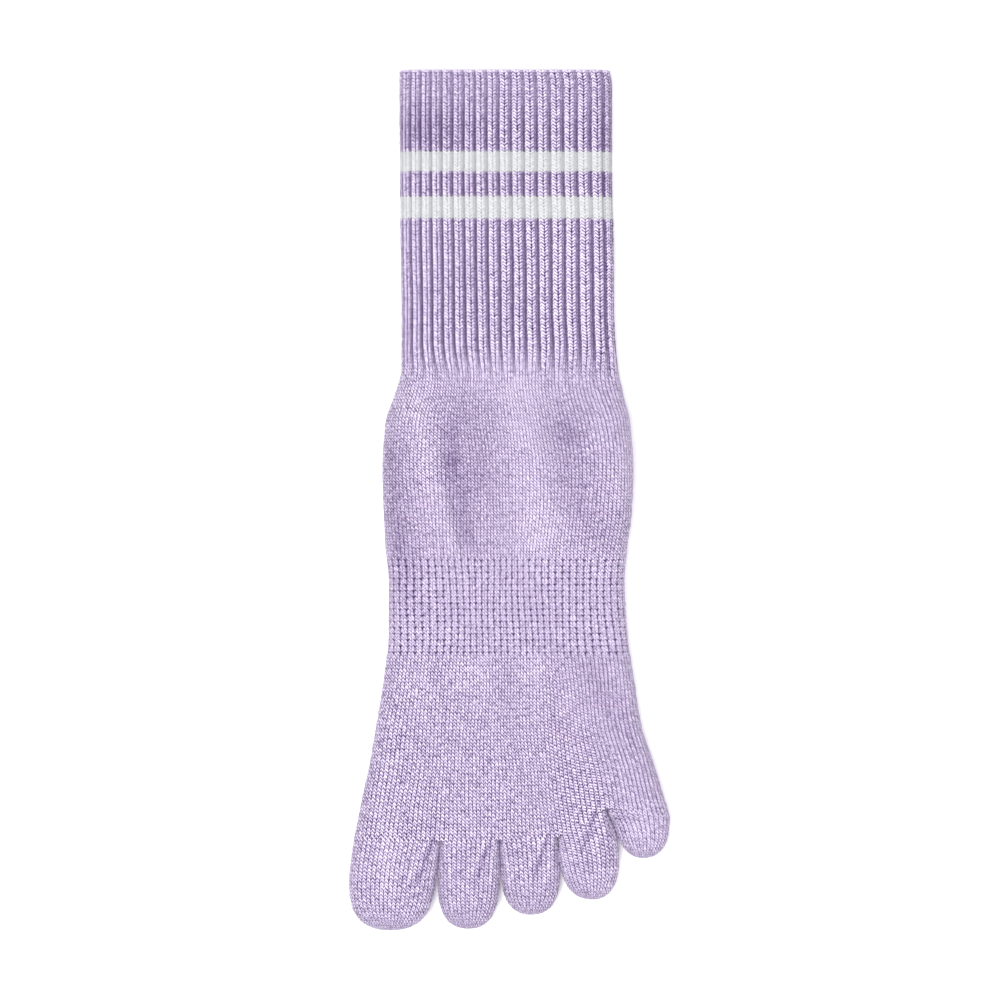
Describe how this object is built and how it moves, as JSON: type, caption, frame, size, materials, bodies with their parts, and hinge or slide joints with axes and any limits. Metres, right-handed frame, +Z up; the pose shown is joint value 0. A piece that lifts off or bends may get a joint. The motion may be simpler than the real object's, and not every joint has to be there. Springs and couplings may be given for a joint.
{
  "type": "toe sock",
  "caption": "Knitted toe sock for a left foot, lying on its sole: ribbed leg with white stripes, plain heel and foot, openwork arch band, closed toe pockets and an open cuff.",
  "frame": {"origin": "middle of the underside of the whole sock, on the surface that it lies on", "axes": "+X from the big toe's side to the little toe's side, +Y from the toes up the leg to the cuff, +Z up through the instep"},
  "size_m": [0.12, 0.3226, 0.023],
  "materials": {
    "lavender_yarn": "matt heathered cotton knit",
    "white_yarn": "matt cotton knit"
  },
  "bodies": {
    "root": {"welt": "lavender_yarn", "cuff": "lavender_yarn", "stripe_upper": "white_yarn", "stripe_gap": "lavender_yarn", "stripe_lower": "white_yarn", "leg": "lavender_yarn", "ankle": "lavender_yarn", "arch_band": "lavender_yarn", "foot": "lavender_yarn", "toe_big": "lavender_yarn", "toe_second": "lavender_yarn", "toe_third": "lavender_yarn", "toe_fourth": "lavender_yarn", "toe_little": "lavender_yarn"}
  },
  "joints": []
}
